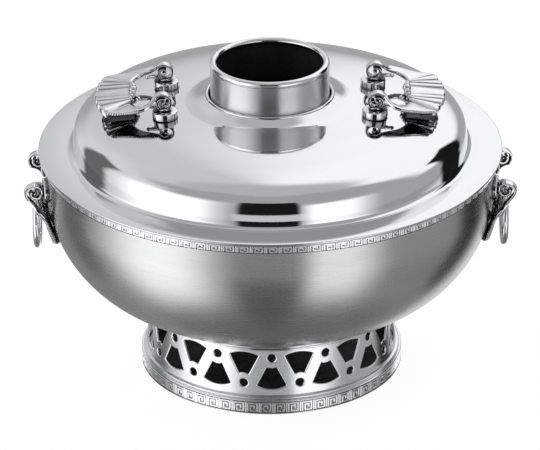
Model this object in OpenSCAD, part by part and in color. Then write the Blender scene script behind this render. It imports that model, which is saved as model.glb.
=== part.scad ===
// Chimney hot pot: a round steel bowl on a pierced foot, with a charcoal flue up its
// middle and a lift-off ring-shaped lid. Millimetres, +Z up, origin at the centre of
// the foot's underside. The handles and rings lie on the X axis.

/* [Foot] */
// Outer radius of the foot wall where it meets its base bead
foot_base_r = 82.8; // [78:0.1:88]
// How far the foot ring stands out beyond the foot wall
foot_ring_step = 2.9; // [2.2:0.1:5]
// Height of the foot ring
foot_ring_h = 9.5; // [8:0.5:12]
// How far the foot wall leans in towards its top
foot_taper = 3.2; // [2:0.1:5]
// Height of the bowl's flat bottom above the table
foot_h = 49.5; // [47:0.5:56]
// Number of pierced fans in each row
fan_count = 14; // [10:1:15]
// Outer radius of a pierced fan
fan_outer_r = 22; // [18:0.5:23]
// Inner radius of a pierced fan
fan_inner_r = 7.2; // [5:0.1:9]
// Half of the angle that a pierced fan opens
fan_half_angle = 26.5; // [18:0.5:28]
// Radius of the small round holes at the fans' centres
fan_hole_r = 2.75; // [1.5:0.05:3.5]
// Distance from a small hole's centre to the edge of the row
fan_hole_offset = 8.7; // [7:0.1:10]

/* [Bowl] */
// Outer radius of the bowl's straight wall
bowl_r = 146; // [140:0.5:148]
// How much narrower the bowl's flat bottom is than the top of the foot
bowl_floor_inset = 10.1; // [6:0.1:12]
// Height of the bowl's round corner
bowl_corner_h = 80.5; // [70:0.5:90]
// Height of the bowl's straight wall above the corner
bowl_wall_h = 21.2; // [19:0.2:30]
// Width of the flange round the bowl's rim
rim_flange_w = 3.2; // [2:0.1:5]
// Height of the patterned band under the rim
rim_band_h = 5.7; // [4:0.1:7]
// Thickness of the patterned band
rim_band_t = 0.9; // [0.5:0.1:1.5]
// Thickness of the steel sheet
sheet = 1.2; // [0.8:0.1:1.6]

/* [Flue] */
// Outer radius of the chimney tube
tube_r = 38.3; // [34:0.1:38.5]
// Height of the chimney's mouth above the bowl's rim
chimney_rise = 60.7; // [50:0.1:80]
// Radius of the rolled bead on the chimney's mouth
bead_r = 2.3; // [2:0.1:2.6]
// Width of the bowl's flat bottom outside the firebox
firebox_inset = 7.5; // [6.5:0.5:11]
// Radius of the draught hole under the fire
throat_r = 53.8; // [46:0.1:54]
// Height of the socket that holds the chimney tube
socket_h = 12; // [8:1:20]
// Thickness of the fire grate
grate_t = 4; // [3:0.5:6]
// Number of slots in the fire grate
grate_slots = 12; // [8:1:14]
// Width of a grate slot
grate_slot_w = 4; // [3:0.5:5]

/* [Lid] */
// How far the lid's rim stands out beyond the bowl's flange
lid_overhang = 0.8; // [0:0.1:4]
// Width of the lid's rim outside its dome
lid_rim_w = 23; // [18:0.5:26]
// Width of the boss round the lid's collar
boss_w = 11.4; // [8:0.1:13]
// Height of the dome above the bowl's rim
dome_h = 32.8; // [28:0.2:40]
// Height of the dome's round shoulder
shoulder_h = 24; // [20:0.5:25]
// Exponent of the dome's shoulder: 2 is an ellipse, more is squarer
shoulder_power = 2.75; // [2.4:0.05:3.2]
// Radius of the fillet between rim and dome
rim_fillet = 7; // [3:0.5:7.5]
// Height of the boss round the chimney above the dome
boss_h = 4.6; // [3.5:0.1:6]
// Gap between the chimney tube and the lid's collar
collar_gap = 1.2; // [1.1:0.1:2.5]
// Wire radius of the lid's rolled collar
collar_r = 1.1; // [0.9:0.1:1.4]
// Depth of the ring that centres the lid in the bowl
locating_h = 7; // [5:0.5:10]

/* [Castings] */
// Distance of the lid handles' volutes from the boss
handle_inset = 15; // [13:0.5:18]
// Downward slope of the lid handles towards the fan
handle_slope = 5; // [3:0.5:6]
// Height of the round feet under the lid handles
handle_foot_h = 3.6; // [3:0.1:5]
// Height of the lugs' volutes below the bowl's rim
lug_drop = 19.6; // [18:0.1:22]
// Radius of the round feet
foot_disc_r = 8.2; // [7:0.1:9]
// Half of the distance between a casting's volutes
volute_v = 24; // [22:0.5:26]
// Outer radius of a volute
volute_r = 5.2; // [4.5:0.1:6]
// Width of a volute
volute_w = 6; // [4:0.5:7]
// Distance from the volutes to the root of the fan
fan_root_u = 17; // [15:0.5:19]
// Length of the fan along its middle rib
fan_len = 28; // [24:0.5:30]
// Pleats on each side of the middle rib
side_pleats = 4; // [3:1:5]
// Angle of each side pleat
pleat_angle = 12; // [9:0.5:12]
// Half of the middle rib's angle
mid_half_angle = 10; // [7:0.5:12]
// Height of the pleats
pleat_h = 1.7; // [1:0.1:2.2]
// Thickness of the castings between the pleats
cast_t = 1.6; // [1.2:0.1:2.2]

/* [Rings] */
// Mean radius of a carrying ring
ring_r = 18.4; // [16:0.1:19]
// Wire radius of a carrying ring
ring_wire_r = 2.2; // [1.8:0.1:2.3]
// Distance of a hanging ring from the bowl's wall
ring_standoff = 6; // [5.9:0.1:8]
// Height of the ring's eye below the bowl's rim
eye_drop = 30.4; // [29:0.1:32]
// Hole radius of the eye
eye_hole_r = 2.9; // [2.9:0.1:3.2]
// Wire radius of the eye
eye_wire_r = 1.5; // [1.2:0.1:1.7]
// Height of the stud below the bowl's rim
stud_drop = 49.2; // [47:0.1:51]
// Radius of the stud's head
stud_r = 6.25; // [5:0.25:7]

/* [Hidden] */

$fn = 96;

// Gaps between pieces of one body, and between the lid and what it slides past
seat_gap = 0.05;
lid_gap = 0.6;
fit_gap = 0.1;

// Radii that follow from the driving sizes
foot_ring_r = foot_base_r + foot_ring_step;
foot_top_r = foot_base_r - foot_taper;
bowl_floor_r = foot_top_r - bowl_floor_inset;
firebox_r = bowl_floor_r - firebox_inset;
lid_r = bowl_r + rim_flange_w + lid_overhang;
dome_r = lid_r - lid_rim_w;
collar_ring_r = tube_r + collar_gap + collar_r;
dome_flat_r = collar_ring_r + boss_w;
handle_r = dome_flat_r + handle_inset;

// Heights that follow from the driving sizes
corner_z = foot_h + bowl_corner_h;
rim_z = corner_z + bowl_wall_h;
flange_z = rim_z + sheet;
dome_z = rim_z + dome_h;
mouth_z = rim_z + chimney_rise;
socket_z = rim_z - socket_h - sheet;
collar_z = dome_z + boss_h;

// Screws, nuts and their holes
screw_r = 2;
screw_hole_r = 2.3;
screw_bore_r = 2.1;
screw_head_r = 4;
screw_head_h = 2.4;
nut_r = 4.6;
nut_h = 3;
drill_depth = 20;

// Steps of the long curves
corner_steps = 20;
dome_steps = 22;
firebox_steps = 10;

steel = "#c9cbcc";
bright = "#e4e6e8";
dark = "#5c5d5f";

function unit(v) = v / norm(v);

// Radius of the bowl's outside at a height
function bowl_out(z) = z >= corner_z ? bowl_r
  : bowl_floor_r + (bowl_r - bowl_floor_r) * sqrt(1 - pow((corner_z - z) / bowl_corner_h, 2));

// Downward tilt of the bowl's outward normal at a height
function bowl_tilt(z) = atan2((corner_z - z) / pow(bowl_corner_h, 2),
  (bowl_out(z) - bowl_floor_r) / pow(bowl_r - bowl_floor_r, 2));

// Quarter ellipse of the bowl's corner, from the flat bottom up to the wall
function corner(inset) = [for (i = [0:corner_steps]) let (t = 90 * i / corner_steps)
  [bowl_floor_r + (bowl_r - bowl_floor_r - inset) * sin(t),
   corner_z - (bowl_corner_h - inset) * cos(t)]];

function backwards(list) = [for (i = [len(list) - 1:-1:0]) list[i]];

// A hole through one wall, centred on it
module drill(r) cylinder(r = r, h = drill_depth, center = true);

// ---------- Bowl ----------

module bowl() color(steel) {
  difference() {
    rotate_extrude() polygon(concat(
      [[throat_r, foot_h]], corner(0),
      [[bowl_r, rim_z - sheet], [bowl_r + rim_flange_w, rim_z - sheet],
       [bowl_r + rim_flange_w, rim_z], [bowl_r - sheet, rim_z]],
      backwards(corner(sheet)), [[throat_r, foot_h + sheet]]));
    for (side = [0, 180]) rotate([0, 0, side]) {
      lug_foot_axes() drill(screw_hole_r);
      stud_axis() drill(stud_shank_r + fit_gap);
      eye_axis() drill(screw_r + fit_gap);
    }
  }
}

module rim_band() color(bright) {
  rotate_extrude() translate([bowl_r + seat_gap, rim_z - sheet - rim_band_h])
    square([rim_band_t, rim_band_h]);
}

// ---------- Foot ----------

bead_step_h = 2;
foot_bead_r = 1.3;
web_t = 1.5;
// Bare wall between the rows of holes and the wall's lower and upper edges
lower_margin = 1.2;
upper_margin = 2;

module fan_cutter(up) {
  // A fan and the small hole at its centre, drawn in the plane of the wall
  cutter_start = foot_top_r - 10;
  wedge_h = 2 * fan_outer_r;
  wedge_w = wedge_h * tan(fan_half_angle);
  centre = up ? foot_ring_h + bead_step_h + fan_hole_offset + lower_margin
              : foot_h - fan_hole_offset - upper_margin;
  translate([cutter_start, 0, centre]) rotate([90, 0, 90]) linear_extrude(foot_ring_r - cutter_start) {
    circle(r = fan_hole_r, $fn = 32);
    rotate(up ? 0 : 180) intersection() {
      difference() {
        circle(r = fan_outer_r);
        circle(r = fan_inner_r);
      }
      polygon([[0, 0], [-wedge_w, wedge_h], [wedge_w, wedge_h]]);
    }
  }
}

module foot_shell() color(bright) {
  flange_in = bowl_floor_r - 5;
  base_z = foot_ring_h + bead_step_h;
  flare_h = 3;
  step_w = foot_ring_step / 2;
  wall = [[foot_base_r, base_z], [foot_base_r - sheet / 2, base_z + flare_h],
    [foot_top_r, foot_h - sheet]];
  difference() {
    rotate_extrude() polygon(concat(
      [[foot_base_r - sheet, foot_ring_h], [foot_base_r + 0.8 * step_w, foot_ring_h],
       [foot_base_r + step_w, foot_ring_h + bead_step_h / 2], [foot_base_r + 0.8 * step_w, base_z]],
      wall, [[foot_top_r, foot_h], [flange_in, foot_h], [flange_in, foot_h - sheet]],
      backwards([for (p = wall) p - [sheet, 0]])));
    for (i = [0:fan_count - 1]) {
      rotate([0, 0, -90 + 360 * i / fan_count]) fan_cutter(false);
      rotate([0, 0, -90 + 360 * (i + 0.5) / fan_count]) fan_cutter(true);
    }
  }
}

module foot_ring() color(bright) {
  web_in = foot_base_r - sheet - 3;
  rotate_extrude() polygon([
    [foot_ring_r - web_t, 0], [foot_ring_r, 0], [foot_ring_r, foot_ring_h],
    [web_in, foot_ring_h], [web_in, foot_ring_h - web_t],
    [foot_ring_r - web_t, foot_ring_h - web_t]]);
}

module foot_bead() color(bright) {
  // Lies in the corner between the foot's top edge and the bowl
  r = foot_top_r + foot_bead_r + fit_gap;
  rotate_extrude() translate([r, foot_h - foot_bead_r]) circle(r = foot_bead_r, $fn = 32);
}

module ash_pan() color(dark) {
  web_z = foot_ring_h - web_t;
  floor_z = 3;
  slope = 2;
  rim_r = foot_ring_r - web_t - 0.5;
  wall_r = foot_base_r - 6;
  rotate_extrude() polygon([
    [0, floor_z], [wall_r - slope, floor_z], [wall_r, floor_z + slope], [wall_r, web_z - sheet],
    [rim_r, web_z - sheet], [rim_r, web_z], [wall_r - sheet, web_z],
    [wall_r - sheet, floor_z + slope + 0.5], [wall_r - slope - 0.5, floor_z + sheet],
    [0, floor_z + sheet]]);
}

// ---------- Flue ----------

// Radius of the firebox's outside at a height
function firebox_out(z) = tube_r
  + (firebox_r - tube_r) * pow(1 - (z - foot_h - sheet) / (socket_z - foot_h - sheet), 1.7);

module firebox() color(steel) {
  base_z = foot_h + sheet;
  socket_r = tube_r + fit_gap;
  flange_r = firebox_r + 5;
  wall = [for (i = [0:firebox_steps]) let (s = i / firebox_steps,
    z = base_z + (socket_z - base_z) * s) [firebox_out(z), z]];
  rotate_extrude() polygon(concat(
    [[firebox_r - sheet, base_z], [flange_r, base_z], [flange_r, base_z + sheet],
     [firebox_r, base_z + sheet]],
    [for (i = [1:firebox_steps - 1]) wall[i]],
    [[socket_r + sheet, socket_z], [socket_r + sheet, socket_z + socket_h],
     [socket_r, socket_z + socket_h], [socket_r, socket_z]],
    [for (i = [firebox_steps:-1:1]) wall[i] - [sheet, 0]]));
}

module chimney_tube() color(bright) {
  translate([0, 0, socket_z]) difference() {
    cylinder(r = tube_r, h = bead_seat_z - socket_z);
    translate([0, 0, -1]) cylinder(r = tube_r - sheet, h = bead_seat_z - socket_z + 2);
  }
}

// The bead's underside is cut flat where it sits on the tube
bead_flat = 0.5;
bead_seat_z = mouth_z - 2 * bead_r + bead_flat;
bead_overhang = 0.3;

module chimney_bead() color(bright) {
  rotate_extrude() difference() {
    translate([tube_r - bead_r + bead_overhang, mouth_z - bead_r]) circle(r = bead_r, $fn = 32);
    translate([0, bead_seat_z - bead_r]) square([2 * tube_r, bead_r]);
  }
}

module fire_grate() color(dark) {
  grate_r = firebox_out(foot_h + sheet + grate_t) - sheet - 0.5;
  hub_hole_r = 6;
  slot_in = 14;
  slot_out = throat_r - 4;
  translate([0, 0, foot_h + sheet]) difference() {
    cylinder(r = grate_r, h = grate_t);
    translate([0, 0, -1]) cylinder(r = hub_hole_r, h = grate_t + 2);
    for (i = [0:grate_slots - 1]) rotate([0, 0, 360 * (i + 0.5) / grate_slots])
      translate([0, 0, -1]) {
        translate([slot_in, -grate_slot_w / 2, 0])
          cube([slot_out - slot_in, grate_slot_w, grate_t + 2]);
        for (x = [slot_in, slot_out])
          translate([x, 0, 0]) cylinder(d = grate_slot_w, h = grate_t + 2, $fn = 24);
      }
  }
}

// ---------- Lid ----------

// The boss starts with a small step up from the dome
boss_step = 1.5;
boss_step_w = 0.6;
lid_edge = 0.4;

// The lid's outside, from the rim to the collar; inset gives the inside
function lid_profile(inset) = let (
  fillet = rim_fillet + inset,
  wall = dome_r - inset,
  boss_out = dome_flat_r - inset - boss_step_w,
  boss_in = collar_ring_r + collar_r + fit_gap,
  boss_steps = 6)
  concat(
    [for (i = [0:6]) let (t = 15 * i) // concave fillet
      [dome_r + rim_fillet - fillet * sin(t), flange_z + rim_fillet - fillet * cos(t)]],
    [for (i = [0:dome_steps]) let (t = 90 * i / dome_steps)
      [dome_flat_r + (wall - dome_flat_r) * pow(cos(t), 2 / shoulder_power),
       dome_z - shoulder_h + (shoulder_h - inset) * pow(sin(t), 2 / shoulder_power)]],
    [for (i = [0:boss_steps]) let (s = i / boss_steps)
      [boss_out + (boss_in - boss_out) * s,
       dome_z + boss_step - inset + (boss_h - boss_step) * pow(s, 2.2)]]);

module lid_blank(grow) {
  // Everything under the lid's outer surface, raised by grow
  rotate_extrude() polygon(concat([[0, rim_z], [lid_r, rim_z], [lid_r, flange_z]],
    lid_profile(-grow), [[0, collar_z]]));
}

module lid_shell() color(bright) {
  difference() {
    rotate_extrude() polygon(concat(
      [[lid_r - lid_edge, rim_z], [lid_r, rim_z + lid_edge], [lid_r, flange_z - lid_edge],
       [lid_r - lid_edge, flange_z]],
      lid_profile(0), backwards(lid_profile(sheet))));
    for (side = [0, 180]) rotate([0, 0, side]) handle_foot_axes() drill(screw_hole_r);
  }
}

module lid_collar() color(bright) {
  rotate_extrude() translate([collar_ring_r, collar_z]) circle(r = collar_r, $fn = 32);
}

module lid_locating_ring() color(steel) {
  outer = bowl_r - sheet - lid_gap;
  translate([0, 0, rim_z - locating_h]) difference() {
    cylinder(r = outer, h = locating_h);
    translate([0, 0, -1]) cylinder(r = outer - sheet, h = locating_h + 2);
  }
}

// ---------- Castings ----------
// A casting is drawn in its own coordinates: u from the volutes towards the fan's tip,
// v across it and w off the surface. Two functions place a point of it, one on the
// lid and one wrapped round the bowl's wall.

handle_z = dome_z + handle_foot_h + 0.7;
lug_z = rim_z - lug_drop;
lug_pitch = 0.93;
lug_lift = 3;
lug_gap = 0.3;

function on_lid(p) = [
  handle_r + p[0] * cos(handle_slope) + p[2] * sin(handle_slope),
  p[1],
  handle_z - p[0] * sin(handle_slope) + p[2] * cos(handle_slope)];

// Height of a lug's back off the bowl: level over the round feet, then down to the wall
function lug_rise(u) = let (t = max(0, min(1, (u - foot_disc_r - 0.3) / (fan_root_u - 3.5))))
  lug_gap + (lug_lift - lug_gap) * (1 - t * t * (3 - 2 * t));

function on_bowl(p) = let (
  z = lug_z - lug_pitch * p[0],
  r = bowl_out(z) + lug_rise(p[0]) + p[2],
  a = p[1] / bowl_r * 180 / PI)
  [r * cos(a), r * sin(a), z];

section_sides = 8;
section_round = 1.08;

// A bar swept along a path: across is the direction of its width
module sweep(path, half_w, half_t, across, place) {
  n = len(path);
  points = [for (i = [0:n - 1]) let (
      t = unit(path[min(i + 1, n - 1)] - path[max(i - 1, 0)]),
      side = unit(across - (across * t) * t),
      up = cross(t, side))
    for (k = [0:section_sides - 1]) let (a = 360 * (k + 0.5) / section_sides)
      place(path[i] + section_round * (half_w[i] * cos(a) * side + half_t[i] * sin(a) * up))];
  sides = [for (i = [0:n - 2], k = [0:section_sides - 1]) let (
      a = i * section_sides + k,
      b = i * section_sides + (k + 1) % section_sides)
    each [[a, a + section_sides, b], [b, a + section_sides, b + section_sides]]];
  first = [for (k = [0:section_sides - 1]) k];
  last = [for (k = [section_sides - 1:-1:0]) (n - 1) * section_sides + k];
  polyhedron(points, concat([first, last], sides), convexity = 6);
}

// The fan's corners reach further out than its middle rib
half_angle = mid_half_angle + side_pleats * pleat_angle;
fan_start_r = 2.5;
corner_reach = 10;
corner_u = fan_root_u - fan_start_r + (fan_len + corner_reach) * cos(half_angle);
corner_v = (fan_len + corner_reach) * sin(half_angle);

// Side frame of a casting: out of the fan's corner, along the edge, into a volute.
// Its edge points are shares of the way from the volute to the fan's corner.
frame_edge = [[1.07, 0.91], [0.87, 1.22], [0.64, 1.27], [0.4, 0.98], [0.23, 0.56], [0.1, 0.17]];
frame_half = 1.5;
volute_turn = 400;
volute_pitch = 2.6;
volute_steps = 14;
volute_t = 0.95;

module side_frame(hand, place) {
  coil = [for (i = [0:volute_steps]) let (
      t = volute_turn * i / volute_steps,
      r = volute_r - volute_t - volute_pitch * t / 360)
    [-r * sin(t), volute_v, volute_r - r * cos(t)]];
  edge = [for (p = frame_edge) [corner_u * p[0], volute_v + (corner_v - volute_v) * p[1], cast_t]];
  path = [for (p = concat(edge, coil)) [p[0], hand * p[1], p[2]]];
  n = len(edge);
  half_w = [for (i = [0:len(path) - 1])
    i < n ? frame_half + (volute_w / 2 - frame_half) * pow(i / n, 2) : volute_w / 2];
  half_t = [for (i = [0:len(path) - 1]) i < n ? frame_half : volute_t];
  sweep(path, half_w, half_t, [0, 1, 0], place);
}

// Arm from the fan's root to the foot of a volute
arm_half_w = 1.6;
arm_half_t = 1.3;

module arm(hand, place) {
  path = [for (p = [[fan_root_u + 3, 0, 1.5], [fan_root_u - 2, 2.8, 0.6],
      [0.6 * fan_root_u, 0.3 * volute_v, -0.3], [0.35 * fan_root_u, 0.52 * volute_v, -0.1],
      [3, volute_v - 6, 1.3], [1, volute_v - 2, 1.5]]) [p[0], hand * p[1], p[2]]];
  sweep(path, [for (p = path) arm_half_w], [for (p = path) arm_half_t], [1, 0, 0], place);
}

// Pleated fan with a scalloped edge
pleat_cols = 4;
fan_rows = 4;
scallop = 1.5;
knot_r = 2.6;

module pleated_fan(place) {
  pleats = 2 * side_pleats + 1;
  cols = pleats * pleat_cols;
  // Angle and height across the pleats for each column
  function col_pleat(c) = min(floor(c / pleat_cols), pleats - 1);
  function col_part(c) = c / pleat_cols - col_pleat(c);
  function pleat_from(k) = k <= side_pleats ? -half_angle + k * pleat_angle
    : mid_half_angle + (k - side_pleats - 1) * pleat_angle;
  function pleat_size(k) = k == side_pleats ? 2 * mid_half_angle : pleat_angle;
  function col_angle(c) = pleat_from(col_pleat(c)) + pleat_size(col_pleat(c)) * col_part(c);
  function arch(c) = sin(180 * col_part(c));
  function reach(c) = fan_len + corner_reach * pow(col_angle(c) / half_angle, 2)
    - scallop * (1 - arch(c));
  function at(c, row, w) = let (r = fan_start_r + (reach(c) - fan_start_r) * row / fan_rows)
    place([fan_root_u - fan_start_r + r * cos(col_angle(c)), r * sin(col_angle(c)), w]);
  tall = pleat_h * 1.3;
  function top(c, row) = cast_t + 0.4
    + (col_pleat(c) == side_pleats ? tall : pleat_h) * arch(c) * (0.25 + 0.75 * row / fan_rows);
  stride = fan_rows + 1;
  under = (cols + 1) * stride;
  points = concat(
    [for (c = [0:cols], row = [0:fan_rows]) at(c, row, top(c, row))],
    [for (c = [0:cols], row = [0:fan_rows]) at(c, row, 0)]);
  function quad(a, b, c, d) = [[a, b, c], [a, c, d]];
  faces = concat(
    [for (c = [0:cols - 1], row = [0:fan_rows - 1]) let (a = c * stride + row)
      each quad(a, a + stride, a + stride + 1, a + 1)],
    [for (c = [0:cols - 1], row = [0:fan_rows - 1]) let (a = under + c * stride + row)
      each quad(a, a + 1, a + stride + 1, a + stride)],
    [for (c = [0:cols - 1]) let (a = c * stride)
      each quad(a, under + a, under + a + stride, a + stride)],
    [for (c = [0:cols - 1]) let (a = c * stride + fan_rows)
      each quad(a, a + stride, under + a + stride, under + a)],
    [for (row = [0:fan_rows - 1]) each quad(row, row + 1, under + row + 1, under + row)],
    [for (row = [0:fan_rows - 1]) let (a = cols * stride + row)
      each quad(a, under + a, under + a + 1, a + 1)]);
  polyhedron(points, faces, convexity = 8);
}

module casting(place) {
  pleated_fan(place);
  for (hand = [-1, 1]) {
    side_frame(hand, place);
    arm(hand, place);
  }
  translate(place([fan_root_u + 1.5, 0, knot_r - 0.2])) sphere(r = knot_r, $fn = 16);
}

// ---------- Lid handles ----------

// A round foot with a blind bore for its screw; its face is at z = 0, its back at -depth
disc_edge = 0.9;
disc_face = 0.8;

module foot_disc(depth) {
  rotate_extrude() polygon([[screw_bore_r, -depth], [foot_disc_r, -depth],
    [foot_disc_r, -disc_edge], [foot_disc_r - disc_edge, 0], [0, 0], [0, -disc_face],
    [screw_bore_r, -disc_face]]);
}

module handle_foot_axes() {
  for (v = [-volute_v, volute_v]) translate([handle_r, v, dome_z]) children();
}

module lid_handle() color(bright) casting(function (p) on_lid(p));

module handle_feet() color(bright) {
  difference() {
    handle_foot_axes() translate([0, 0, handle_foot_h]) foot_disc(handle_foot_h + 3);
    lid_blank(seat_gap);
  }
}

module lid_screws() color(dark) {
  for (side = [0, 180]) rotate([0, 0, side]) handle_foot_axes()
    translate([0, 0, -sheet - 1.2 - screw_head_h]) {
      cylinder(r = screw_head_r, h = screw_head_h);
      cylinder(r = screw_r, h = screw_head_h + sheet + 3.5);
    }
}

// ---------- Lugs, studs and rings ----------

stud_shank_r = 2.4;
stud_z = rim_z - stud_drop;
stud_seat = 2.5;
thread_end = 1;
nut_gap = 0.2;
eye_z = rim_z - eye_drop;
eye_r = eye_hole_r + eye_wire_r;
eye_x = bowl_r + ring_standoff;
eye_shank_r = 3.2;
relief = 0.3;

module lug_foot_axes() {
  // Each axis starts where the disc's face meets the volute
  for (hand = [-1, 1]) rotate([0, 0, hand * volute_v / bowl_r * 180 / PI])
    translate([bowl_out(lug_z) + lug_lift, 0, lug_z]) rotate([0, 90, 0]) children();
}

module stud_axis() {
  translate([bowl_out(stud_z), 0, stud_z]) rotate([0, 90 + bowl_tilt(stud_z), 0]) children();
}

module eye_axis() {
  translate([bowl_out(eye_z), 0, eye_z]) rotate([0, 90, 0]) children();
}

module lug() color(bright) {
  difference() {
    casting(function (p) on_bowl(p));
    stud_axis() {
      cylinder(r = stud_shank_r + fit_gap, h = drill_depth, center = true, $fn = 32);
      translate([0, 0, stud_seat]) cylinder(r = stud_r + relief, h = drill_depth, $fn = 32);
    }
    eye_axis() cylinder(r = eye_shank_r + relief, h = drill_depth, $fn = 32);
    translate([eye_x, 0, eye_z]) rotate([90, 0, 0]) cylinder(r = eye_r + eye_wire_r + relief,
      h = 2 * (eye_wire_r + relief), center = true, $fn = 48);
  }
}

module lug_feet() color(bright) {
  difference() {
    lug_foot_axes() translate([0, 0, -0.5]) foot_disc(8);
    translate([0, 0, foot_h]) cylinder(r = bowl_r + seat_gap, h = rim_z, $fn = 480);
  }
}

module lug_screws() color(dark) {
  for (side = [0, 180]) rotate([0, 0, side]) lug_foot_axes()
    translate([0, 0, -lug_lift - sheet - nut_gap - screw_head_h]) {
      cylinder(r = screw_head_r, h = screw_head_h);
      cylinder(r = screw_r, h = screw_head_h + sheet + lug_lift - 1.4);
    }
}

module stud() color(bright) {
  stud_axis() translate([0, 0, stud_seat]) {
    rotate_extrude() polygon([[0, 0], [stud_r, 0], [stud_r, 1.8], [stud_r * 0.92, 2.9],
      [stud_r * 0.7, 3.8], [stud_r * 0.38, 4.4], [0, 4.6]]);
    translate([0, 0, -stud_seat - sheet - nut_h - thread_end])
      cylinder(r = stud_shank_r, h = stud_seat + sheet + nut_h + thread_end + 0.5);
  }
}

module nut(bore_r) {
  difference() {
    cylinder(r = nut_r, h = nut_h, $fn = 6);
    translate([0, 0, -1]) cylinder(r = bore_r, h = nut_h + 2, $fn = 32);
  }
}

module stud_nuts() color(steel) {
  for (side = [0, 180]) rotate([0, 0, side]) stud_axis()
    translate([0, 0, -sheet - nut_gap - nut_h]) nut(stud_shank_r + seat_gap);
}

module ring_eye() color(bright) {
  shank_in = bowl_out(eye_z) + relief;
  translate([eye_x, 0, eye_z]) rotate([90, 0, 0]) rotate_extrude()
    translate([eye_r, 0]) circle(r = eye_wire_r, $fn = 32);
  translate([shank_in, 0, eye_z]) rotate([0, 90, 0])
    cylinder(r = eye_shank_r, h = eye_x - eye_r - shank_in, $fn = 48);
  eye_axis() translate([0, 0, -eye_nut_depth - thread_end])
    cylinder(r = screw_r, h = eye_nut_depth + 2 * thread_end, $fn = 48);
}

module eye_nuts() color(steel) {
  for (side = [0, 180]) rotate([0, 0, side]) eye_axis()
    translate([0, 0, -eye_nut_depth]) nut(screw_r + seat_gap);
}

// Depth of an eye's nut: it clears the wall, which curves in below the eye
eye_nut_depth = sheet + nut_gap + nut_h + bowl_out(eye_z) - bowl_out(eye_z - nut_r);

// The ring hangs in its eye and swings about the eye's own axis
ring_gap = 0.25;
hang_z = eye_z - (eye_hole_r - ring_wire_r) + ring_gap;

module carrying_ring() color(bright) {
  translate([eye_x, 0, hang_z - ring_r]) rotate([0, 90, 0]) rotate_extrude()
    translate([ring_r, 0]) circle(r = ring_wire_r, $fn = 32);
}

module on_left() rotate([0, 0, 180]) children();

module left_lug() on_left() lug();
module right_lug() lug();
module left_lug_feet() on_left() lug_feet();
module right_lug_feet() lug_feet();
module left_stud() on_left() stud();
module right_stud() stud();
module left_ring_eye() on_left() ring_eye();
module right_ring_eye() ring_eye();
module left_ring() on_left() carrying_ring();
module right_ring() carrying_ring();
module left_handle() on_left() lid_handle();
module right_handle() lid_handle();
module left_handle_feet() on_left() handle_feet();
module right_handle_feet() handle_feet();

bowl();
rim_band();
foot_shell();
foot_ring();
foot_bead();
ash_pan();
firebox();
chimney_tube();
chimney_bead();
fire_grate();
left_lug();
right_lug();
left_lug_feet();
right_lug_feet();
lug_screws();
left_stud();
right_stud();
stud_nuts();
left_ring_eye();
right_ring_eye();
eye_nuts();
left_ring();
right_ring();
lid_shell();
lid_collar();
lid_locating_ring();
left_handle();
right_handle();
left_handle_feet();
right_handle_feet();
lid_screws();
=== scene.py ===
"""Looks of the chimney hot pot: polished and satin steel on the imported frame, in metres."""

import math

import bmesh
import bpy
from mathutils import Matrix, Vector


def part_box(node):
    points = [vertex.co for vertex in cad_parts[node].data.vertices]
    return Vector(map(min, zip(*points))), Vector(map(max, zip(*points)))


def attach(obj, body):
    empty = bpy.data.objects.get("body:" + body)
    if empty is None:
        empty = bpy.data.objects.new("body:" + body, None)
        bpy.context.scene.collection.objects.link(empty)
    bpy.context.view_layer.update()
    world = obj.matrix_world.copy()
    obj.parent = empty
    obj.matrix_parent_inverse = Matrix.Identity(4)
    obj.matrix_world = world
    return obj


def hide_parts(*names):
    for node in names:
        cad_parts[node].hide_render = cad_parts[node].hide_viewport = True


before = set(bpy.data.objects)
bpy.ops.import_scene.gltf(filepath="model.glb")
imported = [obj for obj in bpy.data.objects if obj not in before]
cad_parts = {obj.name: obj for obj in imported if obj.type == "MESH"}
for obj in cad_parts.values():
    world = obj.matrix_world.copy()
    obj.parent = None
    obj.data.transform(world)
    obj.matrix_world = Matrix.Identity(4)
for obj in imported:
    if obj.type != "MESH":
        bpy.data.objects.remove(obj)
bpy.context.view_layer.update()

# ---------- Sizes ----------

MM = 0.001
FULL_TURN = 2 * math.pi

# Heights and radii that the frame holds
lid_low, lid_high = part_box("lid_shell")
bowl_low, bowl_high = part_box("bowl")
ring_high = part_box("foot_ring")[1]
tube_low, tube_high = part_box("chimney_tube")
mouth_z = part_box("chimney_bead")[1].z
rim_z = lid_low.z
lid_r = lid_high.x
foot_h = bowl_low.z
foot_ring_r = ring_high.x
foot_ring_h = ring_high.z
tube_r = tube_high.x
SHEET = 1.2 * MM

# Bowl
BOWL_R = 146 * MM
BOWL_FLOOR_R = 69.5 * MM
BOWL_CORNER_H = 80.5 * MM
CORNER_Z = foot_h + BOWL_CORNER_H
THROAT_R = 53.8 * MM
BAND_H = 5.7 * MM
BAND_T = 0.9 * MM

# Foot
FOOT_BASE_R = 82.8 * MM
FOOT_TOP_R = 79.6 * MM
WALL_LOW = 11.5 * MM
PATTERN_TOP = 46.2 * MM
FAN_COUNT = 14
FAN_OUT = 21.3 * MM
FAN_IN = 7.2 * MM
FAN_HALF = math.radians(26.5)
HOLE_R = 2.75 * MM
HOLE_Z = 37.7 * MM
HOLE_SIDES = 24
HOLE_EDGE = 0.7 * MM
EDGE_STEPS = 4
SEAM_R = 0.8 * MM
SEAM_LOW = 43.8 * MM
# Half widths of a wall cell beside its small hole, at the top and at the waist
CELL_TOP = 4.5 * MM
CELL_WAIST = 5.8 * MM
CELL_WAIST_Z = 36 * MM
CUT_STEP = 7 * MM
WALL_SHARP = 50

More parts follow.
